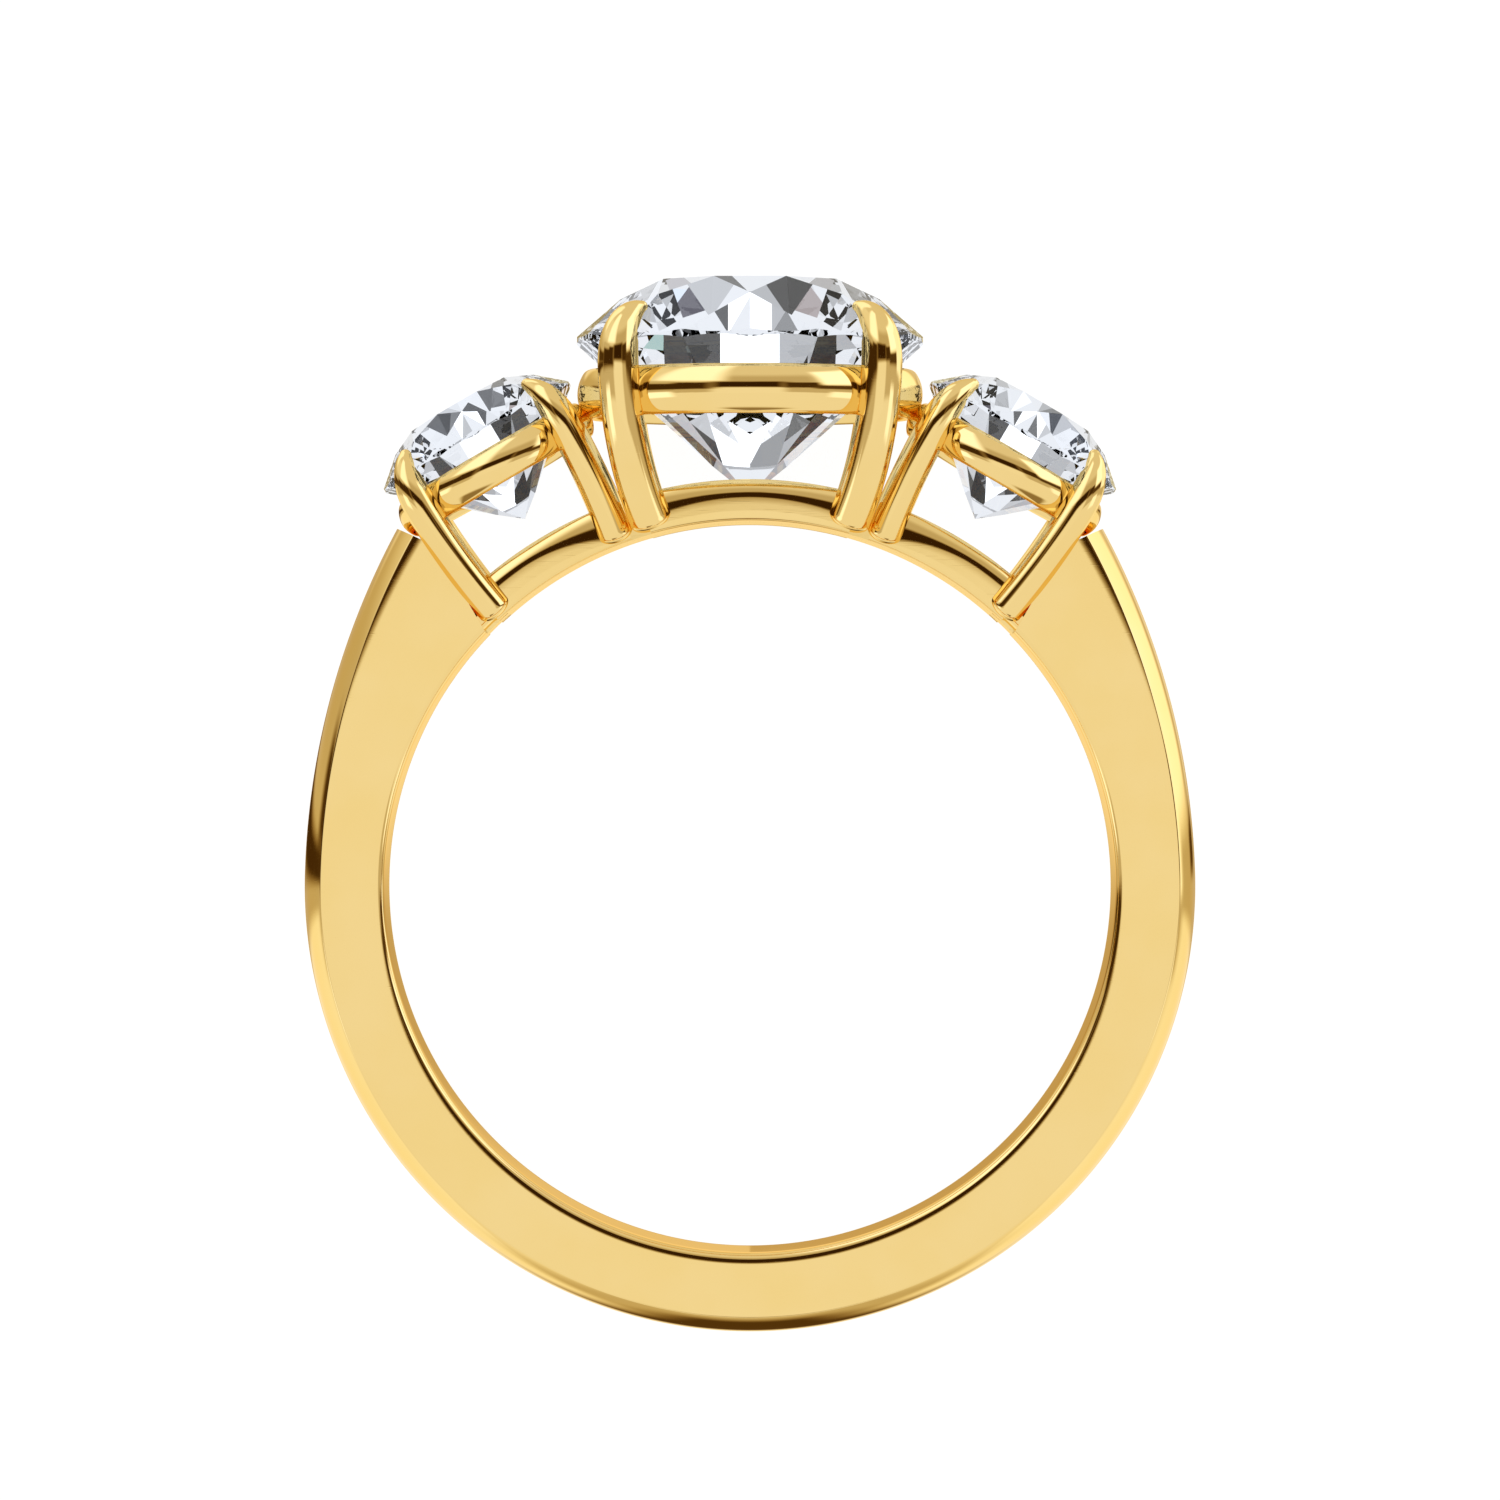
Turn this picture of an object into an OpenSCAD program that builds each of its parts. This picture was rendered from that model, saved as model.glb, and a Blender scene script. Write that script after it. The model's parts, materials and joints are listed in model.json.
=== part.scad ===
// Three-stone ring: a round brilliant between two smaller ones, each in a basket of four prongs,
// on a plain shank with a domed outside. It is drawn with the finger bore along Z and the head
// towards +Y, and then laid on its side, resting on the middle basket and the foot of the shank.

/* [Finger bore and shank] */
// Diameter of the finger bore
bore_d = 17; // [16.6:0.1:17.4]
// Width of the shank along the finger, below the middle
shank_w = 3.56; // [3.4:0.02:3.7]
// Thickness of the shank at the bottom, through the top of its dome
shank_t = 1.92; // [1.8:0.02:2.1]
// Radius of the dome across the outside
dome_r = 3.82; // [3.6:0.02:4.2]
// Bevel between the bore and each side face
bore_bevel = 0.13; // [0.1:0.01:0.2]
// Radius to which the side faces flare above the middle
flare_r = 238; // [220:2:300]
// Distance of each shoulder arc's centre past the bore's axis
shoulder_shift = 7.616; // [7.14:0.119:8.092]

/* [Stones] */
// Girdle diameter of the middle stone
center_d = 8.1; // [8:0.05:8.2]
// Girdle diameter of each side stone
side_d = 5; // [4.9:0.05:5.1]
// Table width, corner to corner, as a share of the diameter
table_share = 0.54; // [0.52:0.01:0.58]
// Girdle thickness as a share of the diameter
girdle_share = 0.0235; // [0.022:0.0005:0.028]
// Slope of the kite facets of the crown
crown_deg = 35.2; // [34:0.1:36]
// Slope of the middle stone's main pavilion facets
center_pavilion = 41.2; // [40.6:0.1:41.6]
// Slope of the side stones' main pavilion facets
side_pavilion = 40.8; // [40.4:0.1:41.4]
// Radius of the star facets' tips as a share of the stone's radius
star_share = 0.748; // [0.73:0.002:0.77]
// Length of the lower girdle facets as a share of the stone's radius
lower_share = 0.78; // [0.74:0.01:0.82]
// Gap between each stone and its seat
seat_gap = 0.035; // [0.03:0.005:0.05]

/* [Places of the stones] */
// Height of the middle girdle above the bore
center_rise = 4.255; // [4.2:0.01:4.35]
// Height of the side girdles above the bore, at their own angle
side_rise = 3.79; // [3.74:0.01:3.84]
// Angle of the side stones round the bore from the top
side_at = 31.3; // [31:0.1:32]
// Outward lean of the side stones
side_lean = 30.3; // [30:0.1:31]

/* [Prongs] */
// Widest radius of the middle prongs, to the wire's centre
center_prong_r = 4.306; // [4.28:0.002:4.35]
// Radius of the middle prongs' wire
center_wire = 0.485; // [0.465:0.005:0.505]
// Bending radius of the middle prongs
center_bend = 7.83; // [7.6:0.01:8.2]
// Radius of the hook over the middle stone's crown
center_hook = 1.014; // [1:0.002:1.03]
// Widest radius of the side prongs, to the wire's centre
side_prong_r = 2.72; // [2.7:0.01:2.76]
// Radius of the side prongs' wire
side_wire = 0.41; // [0.4:0.005:0.43]
// Bending radius of the side prongs
side_bend = 13.2; // [12.8:0.1:13.6]
// Radius of the hook over a side stone's crown
side_hook = 1.246; // [1.24:0.002:1.26]

/* [Rails] */
// Radius of the middle basket's rail, to its section's centre
center_rail_r = 3.73; // [3.7:0.01:3.76]
// Thickness of that rail
center_rail_t = 0.62; // [0.56:0.01:0.66]
// Height of that rail
center_rail_h = 1.15; // [1.1:0.01:1.2]
// Radius of each side basket's rail, to its section's centre
side_rail_r = 2.29; // [2.26:0.01:2.32]
// Thickness of that rail
side_rail_t = 0.52; // [0.48:0.01:0.54]
// Height of that rail
side_rail_h = 0.875; // [0.85:0.005:0.9]
// Thickness of the rails round the bore, along the finger
foot_rail_t = 0.8; // [0.7:0.02:0.84]
// Height of the rails round the bore
foot_rail_h = 0.9; // [0.86:0.01:0.94]
// Thickness of the band under the head, between these rails
foot_band_t = 0.42; // [0.36:0.01:0.44]

/* [Hidden] */
$fn = 96;
bore_r = bore_d / 2;
shank_r = bore_r + shank_t;
half_w = shank_w / 2;
straight_bore = half_w - bore_bevel;
bevel_reach = 0.5;
arris_r = shank_r - dome_r + sqrt(dome_r * dome_r - half_w * half_w);
// The shoulder arcs' centres lie a little below the bore's axis, on a line of 69 in 2380, whose
// length is 2381 in 2380: both arcs then meet the lower band on one plane, in whole decimals
shoulder_drop = shoulder_shift * 69 / 2380;
shoulder_r = shank_r + shoulder_shift * 2381 / 2380;

center_y = bore_r + center_rise;
side_x = (bore_r + side_rise) * sin(side_at);
side_y = (bore_r + side_rise) * cos(side_at);

// Where the wires start to hook over the crown, below the girdle's middle
center_hook_y = -0.313;
side_hook_y = -0.524;
// The kite and main facets run out just past the girdle, so each keeps a narrow end on it
kite_share = 1.008;
// Radius to which the facets are drawn before the girdle cuts them, as a share of the stone's
run_out_share = 1.021;
// Turn of each prong's bend, down to its foot, and of each hook, up to its tip
center_bend_deg = 39.4;
side_bend_deg = 18.5;
center_hook_deg = 75.7;
side_hook_deg = 47.7;
// Share of its radius that each hook loses up to its round tip, and how late it does
center_hook_thin = 0.698;
side_hook_thin = 0.647;
center_hook_late = 1.6;
side_hook_late = 1.23;
hook_sides = 16;
hook_steps = 7;
tip_steps = 3;
// Depth to which each hook runs back into its wire, and its radius there as a share of the wire's
hook_root = 0.12;
hook_fit = 0.975;

// Middles of the basket rails, below the girdle's middle, and the radius of their thin edges
center_rail_y = -1.262;
side_rail_y = -0.885;
center_rail_edge = 0.2;
side_rail_edge = 0.16;
rail_arc_steps = 5;

// Rails round the bore: outer faces from the ring's middle, and their angles from the top
center_foot_z = 2.6;
side_foot_z = 2.05;
center_foot_deg = 19.5;
side_foot_start = 17.5;
side_foot_end = 43.3;
foot_bevel = 0.09;
below_bore = 0.3;
// Band under the head: half its width and its reach from the top, and those of its narrower ends,
// which run on into the shank
foot_band_z = 1.9;
foot_band_deg = 42.9;
band_end_z = 1.6;
band_end_deg = 52;

// Ends of the shank, in the side basket's own frame: beside the prongs and then outwards
end_gap_x = 2.1;
end_corner_y = -1.774;
end_slope_deg = 55.3;
end_reach = 4;
end_depth = 3.73;
// Tongue that joins each end of the shank to the feet of its basket
tongue_z = 1.25;
tongue_h = 0.85;
tongue_start = 39.5;
tongue_end = 50;

// The ring leans on the outer side of the middle rail and on the lower arris of the shank
rail_side_r = oval_side_r(center_rail_t / 2, center_rail_h / 2, center_rail_edge);
rail_side_z = center_rail_r + center_rail_t / 2 - rail_side_r;
rail_side_y = center_y + center_rail_y;
lean_run = arris_r + rail_side_y;
lean_fall = rail_side_z - half_w;
lie_deg = asin(rail_side_r / norm([lean_run, lean_fall])) + atan2(lean_fall, lean_run);
lie_z = arris_r * sin(lie_deg) + half_w * cos(lie_deg);
lie_table_y = center_y + center_d / 2 * (girdle_share + (1 - table_share) * tan(crown_deg));
lie_table_z = table_share * center_d / 2 * cos(22.5);
lie_top = lie_table_y * cos(lie_deg) + lie_table_z * sin(lie_deg);
lie_bottom = (shank_r - dome_r) * cos(lie_deg) + dome_r;
lie_y = (lie_bottom - lie_top) / 2;

// Radius of the flat sides of a four-centred oval with half axes a and b and ends of radius e
function oval_side_r(a, b, e) = (a * a + (b - e) * (b - e) - e * e) / (2 * (a - e));

// Point on a circle round (cx, cy)
function on_circle(cx, cy, r, deg) = [cx + r * cos(deg), cy + r * sin(deg)];

// Quarter of the oval, from its outer side up to its top
function oval_quarter(a, b, e) =
    let (side = oval_side_r(a, b, e), turn = atan2(b - e, side - a))
    concat(
        [for (i = [0 : rail_arc_steps - 1]) on_circle(a - side, 0, side, turn * i / rail_arc_steps)],
        [for (i = [0 : rail_arc_steps - 1]) on_circle(0, b - e, e, turn + (90 - turn) * i / rail_arc_steps)]
    );

// Whole oval: the quarter turned through its four mirror images
module oval(a, b, e) {
    quarter = oval_quarter(a, b, e);
    last = len(quarter) - 1;
    polygon(concat(
        quarter,
        [[0, b]],
        [for (i = [0 : last]) [-quarter[last - i].x, quarter[last - i].y]],
        [for (i = [1 : last]) [-quarter[i].x, -quarter[i].y]],
        [[0, -b]],
        [for (i = [0 : last - 1]) [quarter[last - i].x, -quarter[last - i].y]]
    ));
}

// Frame of a stone: its axis along Z, its sideways direction along X
module at_stone(x, y, lean) {
    translate([x, y, 0])
        rotate([0, 0, lean])
        rotate([-90, 0, 0])
        children();
}

// Both side stones' frames
module at_sides() {
    at_stone(-side_x, side_y, side_lean) children();
    at_stone(side_x, side_y, -side_lean) children();
}

// The ring laid down on its far side
module lie() {
    translate([0, lie_y, lie_z])
        rotate([lie_deg, 0, 0])
        children();
}

// Solid between the two side faces, flat below the middle and flaring above it
module between_sides() {
    reach = shank_r + 3;
    rotate([90, 0, 90])
        translate([0, 0, -reach])
        linear_extrude(2 * reach)
        union() {
            translate([-reach, -half_w]) square([reach, shank_w]);
            difference() {
                translate([0, -shank_w]) square([reach, 2 * shank_w]);
                translate([0, flare_r + half_w]) circle(flare_r, $fn = 256);
                translate([0, -flare_r - half_w]) circle(flare_r, $fn = 256);
            }
        }
}

// Band whose outside is domed across, with radius r at the top of the dome
module domed_band(r) {
    rotate_extrude($fn = 256)
        intersection() {
            translate([r - dome_r, 0]) circle(dome_r, $fn = 128);
            translate([bore_r - below_bore, -shank_w]) square([r, 2 * shank_w]);
        }
}

// Room above the line through the two arcs' centres, which rises by 69 in 2380, on the left side
module above_left() {
    far = 23.8;
    rise = 0.69;
    translate([0, 0, -shank_w])
        linear_extrude(2 * shank_w)
        polygon([[0, 0], [0, far], [-far, far], [-far, rise]]);
}

module left_shoulder() {
    intersection() {
        translate([shoulder_shift, -shoulder_drop, 0])
            rotate_extrude($fn = 256)
            intersection() {
                translate([shoulder_r - dome_r, 0]) circle(dome_r, $fn = 128);
                translate([shoulder_r - end_depth, -shank_w]) square([shoulder_r, 2 * shank_w]);
            }
        above_left();
    }
}

module lower_band() {
    difference() {
        domed_band(shank_r);
        above_left();
        mirror([1, 0, 0]) above_left();
    }
}

// Point of the left side basket's frame in the ring's own plane
function left_point(x, y) = [
    -side_x - x * cos(side_lean) - y * sin(side_lean),
    side_y - x * sin(side_lean) + y * cos(side_lean)
];

// Room that the baskets take out of the shank
module head_room() {
    low = left_point(end_gap_x, end_corner_y - end_reach);
    corner = left_point(end_gap_x, end_corner_y);
    high = left_point(
        end_gap_x + end_reach * cos(end_slope_deg),
        end_corner_y + end_reach * sin(end_slope_deg)
    );
    above = high.y + end_reach;
    translate([0, 0, -shank_w])
        linear_extrude(2 * shank_w)
        polygon([
            low, corner, high, [high.x, above],
            [-high.x, above], [-high.x, high.y], [-corner.x, corner.y], [-low.x, low.y]
        ]);
}

// Bevel of the bore's two edges
module bore_bevels() {
    for (end = [0, 1])
        mirror([0, 0, end])
        translate([0, 0, straight_bore])
        cylinder(r1 = bore_r, r2 = bore_r + bevel_reach, h = bevel_reach, $fn = 256);
}

module shank() {
    difference() {
        intersection() {
            union() {
                lower_band();
                left_shoulder();
                mirror([1, 0, 0]) left_shoulder();
            }
            between_sides();
        }
        head_room();
        bore_bevels();
    }
}

// One prong's wire below the hook: an arc in the plane of the stone's axis
module prong_wire(reach, top, bend, wire, turn) {
    translate([reach - bend, 0, top])
        rotate([90, 0, 0])
        rotate([0, 0, -turn])
        rotate_extrude(angle = turn, $fn = 256)
        translate([bend, 0])
        circle(wire, $fn = 48);
}

// Ring of points of radius w round the hook's centre line at angle a, carried ahead along the line
function hook_ring(reach, top, bend, w, a, ahead) =
    let (
        x = reach - bend + bend * cos(a) - ahead * sin(a),
        z = top + bend * sin(a) + ahead * cos(a)
    )
    [for (k = [0 : hook_sides - 1]) let (t = 360 * k / hook_sides)
        [x + w * cos(t) * cos(a), w * sin(t), z + w * cos(t) * sin(a)]];

// Hook over the crown: the wire bends inwards and thins out to a small round tip
module hook(reach, top, bend, wire, deg, thin, late) {
    w = hook_fit * wire;
    end_w = w * (1 - thin);
    tip = [
        reach - bend + bend * cos(deg) - end_w * sin(deg),
        0,
        top + bend * sin(deg) + end_w * cos(deg)
    ];
    n = hook_sides;
    last = hook_steps + tip_steps;
    polyhedron(
        concat(
            hook_ring(reach, top, bend, w, 0, -hook_root),
            [for (i = [0 : hook_steps]) let (part = i / hook_steps)
                each hook_ring(reach, top, bend, w * (1 - thin * pow(part, late)), deg * part, 0)],
            [for (i = [1 : tip_steps - 1]) let (b = 90 * i / tip_steps)
                each hook_ring(reach, top, bend, end_w * cos(b), deg, end_w * sin(b))],
            [tip]
        ),
        concat(
            [[for (k = [0 : n - 1]) k]],
            [for (i = [0 : last - 1], k = [0 : n - 1])
                [n * i + k, n * (i + 1) + k, n * i + (k + 1) % n]],
            [for (i = [0 : last - 1], k = [0 : n - 1])
                [n * i + (k + 1) % n, n * (i + 1) + k, n * (i + 1) + (k + 1) % n]],
            [for (k = [0 : n - 1]) [n * last + k, n * (last + 1), n * last + (k + 1) % n]]
        )
    );
}

module center_basket() {
    for (turn = [45 : 90 : 315])
        rotate([0, 0, turn]) {
            prong_wire(center_prong_r, center_hook_y, center_bend, center_wire, center_bend_deg);
            hook(
                center_prong_r, center_hook_y, center_hook, center_wire,
                center_hook_deg, center_hook_thin, center_hook_late
            );
        }
    rotate_extrude()
        translate([center_rail_r, center_rail_y])
        oval(center_rail_t / 2, center_rail_h / 2, center_rail_edge);
}

module side_basket() {
    for (turn = [45 : 90 : 315])
        rotate([0, 0, turn]) {
            prong_wire(side_prong_r, side_hook_y, side_bend, side_wire, side_bend_deg);
            hook(
                side_prong_r, side_hook_y, side_hook, side_wire,
                side_hook_deg, side_hook_thin, side_hook_late
            );
        }
    rotate_extrude()
        translate([side_rail_r, side_rail_y])
        oval(side_rail_t / 2, side_rail_h / 2, side_rail_edge);
}

// Rail round the bore at one face of the head, with a round top and a bevelled inner edge
module foot_rail(face_z, from_deg, to_deg) {
    half_t = foot_rail_t / 2;
    top_r = bore_r + foot_rail_h - half_t;
    inner_r = bore_r - below_bore;
    edge_r = bore_r + foot_bevel;
    rotate([0, 0, 90 + from_deg])
        rotate_extrude(angle = to_deg - from_deg, $fn = 256)
        union() {
            translate([top_r, face_z - half_t]) circle(half_t, $fn = 48);
            polygon([
                [inner_r, face_z - foot_rail_t], [top_r, face_z - foot_rail_t],
                [top_r, face_z], [edge_r, face_z], [inner_r, face_z - (edge_r - inner_r)]
            ]);
        }
}

module foot_rails() {
    for (face = [0, 1])
        mirror([0, 0, face]) {
            foot_rail(center_foot_z, -center_foot_deg, center_foot_deg);
            foot_rail(side_foot_z, side_foot_start, side_foot_end);
            foot_rail(side_foot_z, -side_foot_end, -side_foot_start);
        }
}

// Band round the bore that carries on the shank's bore wall under the head
module foot_band(half_z, reach_deg) {
    rotate([0, 0, 90 - reach_deg])
        rotate_extrude(angle = 2 * reach_deg, $fn = 256)
        translate([bore_r - below_bore, -half_z])
        square([foot_band_t + below_bore, 2 * half_z]);
}

// Tongue at the end of the shank, between the two feet of the side basket
module tongue() {
    rotate([0, 0, 90 + tongue_start])
        rotate_extrude(angle = tongue_end - tongue_start, $fn = 256)
        translate([bore_r - below_bore, -tongue_z])
        square([tongue_h + below_bore, 2 * tongue_z]);
}

// Round room for one stone, with the gap all round it
module seat(d, pavilion) {
    r = d / 2;
    g = seat_gap;
    girdle = girdle_share * d / 2;
    star_y = girdle + crown_rise(r) - star_fall(r);
    table_top = girdle + crown_rise(r);
    // The same gap, measured along the axis over each slope, and up beside the girdle's corners
    pavilion_slope = lower_drop(r, pavilion) / (lower_share * r);
    pavilion_gap = g * norm([1, pavilion_slope]);
    corner_gap = g * 0.45;
    rotate_extrude()
        polygon([
            [0, -girdle - pavilion_slope * r - pavilion_gap],
            [r + g, -girdle - corner_gap],
            [r + g, girdle + corner_gap],
            [star_share * r + g * sin(crown_deg), star_y + g * cos(crown_deg)],
            [table_share * r, table_top + g],
            [0, table_top + g]
        ]);
}

module mounting() {
    color("gold")
        lie()
        difference() {
            union() {
                shank();
                at_stone(0, center_y, 0) center_basket();
                at_sides() side_basket();
                foot_rails();
                foot_band(foot_band_z, foot_band_deg);
                foot_band(band_end_z, band_end_deg);
                tongue();
                mirror([1, 0, 0]) tongue();
            }
            cylinder(r = bore_r, h = 4 * shank_w, center = true, $fn = 256);
            at_stone(0, center_y, 0) seat(center_d, center_pavilion);
            at_sides() seat(side_d, side_pavilion);
        }
}

// Heights of the cut, for a stone of radius r: crown, star tips below the table, lower facets
function crown_rise(r) = (1 - table_share) * r * tan(crown_deg);
function star_fall(r) = (star_share * cos(22.5) - table_share) * r * tan(crown_deg);
function lower_drop(r, pavilion) = (1 - (1 - lower_share) * cos(22.5)) * r * tan(pavilion);

// Point at radius r, angle a and height z
function polar(r, a, z) = [r * cos(a), r * sin(a), z];

// Height on the plane through p, q and s, above the point (x, y)
function plane_z(p, q, s, x, y) =
    let (n = cross(q - p, s - p))
    p.z - (n.x * (x - p.x) + n.y * (y - p.y)) / n.z;

// Round brilliant: a cylinder for the girdle, cut by the facets' planes
module brilliant(d, pavilion) {
    r = d / 2;
    kite_r = kite_share * r;
    girdle = girdle_share * d / 2;
    table_z = girdle + crown_rise(r);
    star_z = table_z - star_fall(r);
    lower_z = -girdle - lower_drop(r, pavilion);
    culet_z = -girdle - r * tan(pavilion);
    out_r = run_out_share * r;
    lower_r = (1 - lower_share) * r;

    // Girdle points where a kite ends and where two girdle facets meet, and the tips beside them
    kite_top = polar(kite_r, 22.5, table_z - (kite_share - table_share) * r * tan(crown_deg));
    edge_top = polar(r, 0, girdle);
    star = polar(star_share * r, 0, star_z);
    lower = polar(lower_r, 0, lower_z);
    kite_low = polar(kite_r, 22.5, culet_z + kite_r * tan(pavilion));
    edge_low = polar(r, 0, -girdle);

    // Heights of the girdle facets where they run on past the girdle
    out_kite = polar(out_r, 22.5, 0);
    kite_top_z = plane_z(star, kite_top, edge_top, out_kite.x, out_kite.y);
    edge_top_z = plane_z(star, kite_top, edge_top, out_r, 0);
    kite_low_z = plane_z(lower, kite_low, edge_low, out_kite.x, out_kite.y);
    edge_low_z = plane_z(lower, kite_low, edge_low, out_r, 0);

    // Eight of each point: table, star, kite end, run-out above and below, lower tip
    points = concat(
        [for (k = [0 : 7]) polar(table_share * r, 45 * k + 22.5, table_z)],
        [for (k = [0 : 7]) polar(star_share * r, 45 * k, star_z)],
        [for (k = [0 : 7]) polar(kite_r, 45 * k + 22.5, kite_top.z)],
        [for (k = [0 : 7]) polar(out_r, 45 * k, edge_top_z)],
        [for (k = [0 : 7]) polar(out_r, 45 * k + 22.5, kite_top_z)],
        [for (k = [0 : 7]) polar(out_r, 45 * k, edge_low_z)],
        [for (k = [0 : 7]) polar(out_r, 45 * k + 22.5, kite_low_z)],
        [for (k = [0 : 7]) polar(kite_r, 45 * k + 22.5, kite_low.z)],
        [for (k = [0 : 7]) polar(lower_r, 45 * k, lower_z)],
        [[0, 0, culet_z]]
    );
    table = 0;
    stars = 8;
    kites = 16;
    edge_up = 24;
    kite_up = 32;
    edge_down = 40;
    kite_down = 48;
    mains = 56;
    lowers = 64;
    culet = 72;
    facets = concat(
        [[for (k = [7 : -1 : 0]) table + k]],
        [for (k = [0 : 7]) let (n = (k + 1) % 8) each [
            [table + k, table + n, stars + n],
            [table + k, stars + n, kites + k],
            [table + k, kites + k, stars + k],
            [stars + k, kites + k, kite_up + k],
            [stars + k, kite_up + k, edge_up + k],
            [stars + n, kite_up + k, kites + k],
            [stars + n, edge_up + n, kite_up + k],
            [edge_up + k, kite_up + k, kite_down + k],
            [edge_up + k, kite_down + k, edge_down + k],
            [kite_up + k, edge_up + n, edge_down + n],
            [kite_up + k, edge_down + n, kite_down + k],
            [lowers + k, edge_down + k, kite_down + k],
            [lowers + k, kite_down + k, mains + k],
            [lowers + n, mains + k, kite_down + k],
            [lowers + n, kite_down + k, edge_down + n],
            [culet, lowers + k, mains + k],
            [culet, mains + k, lowers + n]
        ]]
    );
    intersection() {
        polyhedron(points, facets);
        translate([0, 0, culet_z - 1]) cylinder(r = r, h = table_z - culet_z + 2, $fn = 192);
    }
}

module center_stone() {
    color("aliceblue")
        lie()
        at_stone(0, center_y, 0)
        brilliant(center_d, center_pavilion);
}

module left_stone() {
    color("aliceblue")
        lie()
        at_stone(-side_x, side_y, side_lean)
        brilliant(side_d, side_pavilion);
}

module right_stone() {
    color("aliceblue")
        lie()
        at_stone(side_x, side_y, -side_lean)
        brilliant(side_d, side_pavilion);
}

mounting();
center_stone();
left_stone();
right_stone();
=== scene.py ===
import json
import math

import bpy
import numpy as np
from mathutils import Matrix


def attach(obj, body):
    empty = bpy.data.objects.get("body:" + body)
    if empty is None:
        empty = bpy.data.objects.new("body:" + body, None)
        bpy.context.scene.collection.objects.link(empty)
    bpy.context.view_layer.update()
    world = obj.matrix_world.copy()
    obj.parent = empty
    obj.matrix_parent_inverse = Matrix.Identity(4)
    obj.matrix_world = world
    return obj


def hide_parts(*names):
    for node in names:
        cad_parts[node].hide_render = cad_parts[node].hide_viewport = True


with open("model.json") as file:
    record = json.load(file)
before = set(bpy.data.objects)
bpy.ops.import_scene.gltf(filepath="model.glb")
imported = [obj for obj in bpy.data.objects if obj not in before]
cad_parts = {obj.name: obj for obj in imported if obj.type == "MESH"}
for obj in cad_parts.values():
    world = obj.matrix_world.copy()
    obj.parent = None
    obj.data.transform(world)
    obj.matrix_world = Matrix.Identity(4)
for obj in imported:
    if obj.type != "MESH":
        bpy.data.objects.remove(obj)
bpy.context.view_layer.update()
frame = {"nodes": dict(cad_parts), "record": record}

# The ring is drawn in millimetres with the bore along z and the head towards y, and then laid down
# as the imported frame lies: the bore's mount gives the place of its middle and the lean of its axis.
mount = frame["record"]["mounts"][0]
boreMiddle = np.array(mount["pos_m"])
boreAxis = np.array(mount["axis"])
boreR = mount["dims"]["r_mm"]
boreLean = math.atan2(-boreAxis[1], boreAxis[2])
headWay = np.cross(boreAxis, [1.0, 0.0, 0.0])
millimetre = 0.001
# How far walls that share the bore's surface stand off it, so that no two of them coincide
wallGap = {"room": 0.0015, "band": 0.00252, "rail": 0.003, "tongue": 0.01}


def laid(points):
    # Each point's x, y and z along the ring's own three axes, from the bore's middle, in metres
    axes = np.array([[1.0, 0.0, 0.0], headWay, boreAxis])
    return boreMiddle + millimetre * (np.asarray(points) @ axes)


class Wire:
    # One socket of a sheet, so that sums on sockets add the Math nodes that work them out
    def __init__(self, sheet, socket):
        self.sheet, self.socket = sheet, socket

    def __add__(self, other):
        return self.sheet.sum("ADD", self, other)

    def __radd__(self, other):
        return self.sheet.sum("ADD", other, self)

    def __sub__(self, other):
        return self.sheet.sum("SUBTRACT", self, other)

    def __rsub__(self, other):
        return self.sheet.sum("SUBTRACT", other, self)

    def __mul__(self, other):
        return self.sheet.sum("MULTIPLY", self, other)

    def __rmul__(self, other):
        return self.sheet.sum("MULTIPLY", other, self)

    def __truediv__(self, other):
        return self.sheet.sum("DIVIDE", self, other)

    def __rtruediv__(self, other):
        return self.sheet.sum("DIVIDE", other, self)

    def __pow__(self, other):
        return self.sheet.sum("POWER", self, other)


class Sheet:
    # A node tree under work: add makes every node, with its settings first and then its sockets
    def __init__(self, tree):
        self.tree = tree
        tree.nodes.clear()

    def add(self, kind, settings=None, inputs=None, output=0):
        node = self.tree.nodes.new(kind)
        for name, value in (settings or {}).items():
            setattr(node, name, value)
        for name, value in (inputs or {}).items():
            if isinstance(value, Wire):
                self.tree.links.new(value.socket, node.inputs[name])
            else:
                node.inputs[name].default_value = value
        return Wire(self, node.outputs[output]) if len(node.outputs) else None

    def sum(self, operation, *terms):
        return self.add("ShaderNodeMath", {"operation": operation}, dict(enumerate(terms)))

    def smooth(self, wire, low, high):
        # From 0 at low to 1 at high, level at both ends
        ramp = {"interpolation_type": "SMOOTHSTEP"}
        return self.add("ShaderNodeMapRange", ramp, {0: wire, 1: low, 2: high, 3: 0.0, 4: 1.0})


goldLook = {
    "color": (0.93, 0.70, 0.295, 1.0),  # polished 18-carat yellow gold
    "warm": (0.92, 0.68, 0.265, 1.0),
    "polish": 0.035,                   # roughness where the polish is best
    "haze": 0.03,                      # roughness added where it is a little worn
    "scratches": 0.015,                # strength of the fine scratches
    "edge": (0.97, 0.82, 0.52, 1.0),   # tone kept where it is seen at a glance
    "slowScale": 420.0, "fineScale": 5200.0,     # of the changes of tone and haze, and of the grain
    "hairScale": 900.0, "hairTurn": (0.4, 0.9, 0.3), "hairStretch": (1.0, 40.0, 6.0),
}


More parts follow.
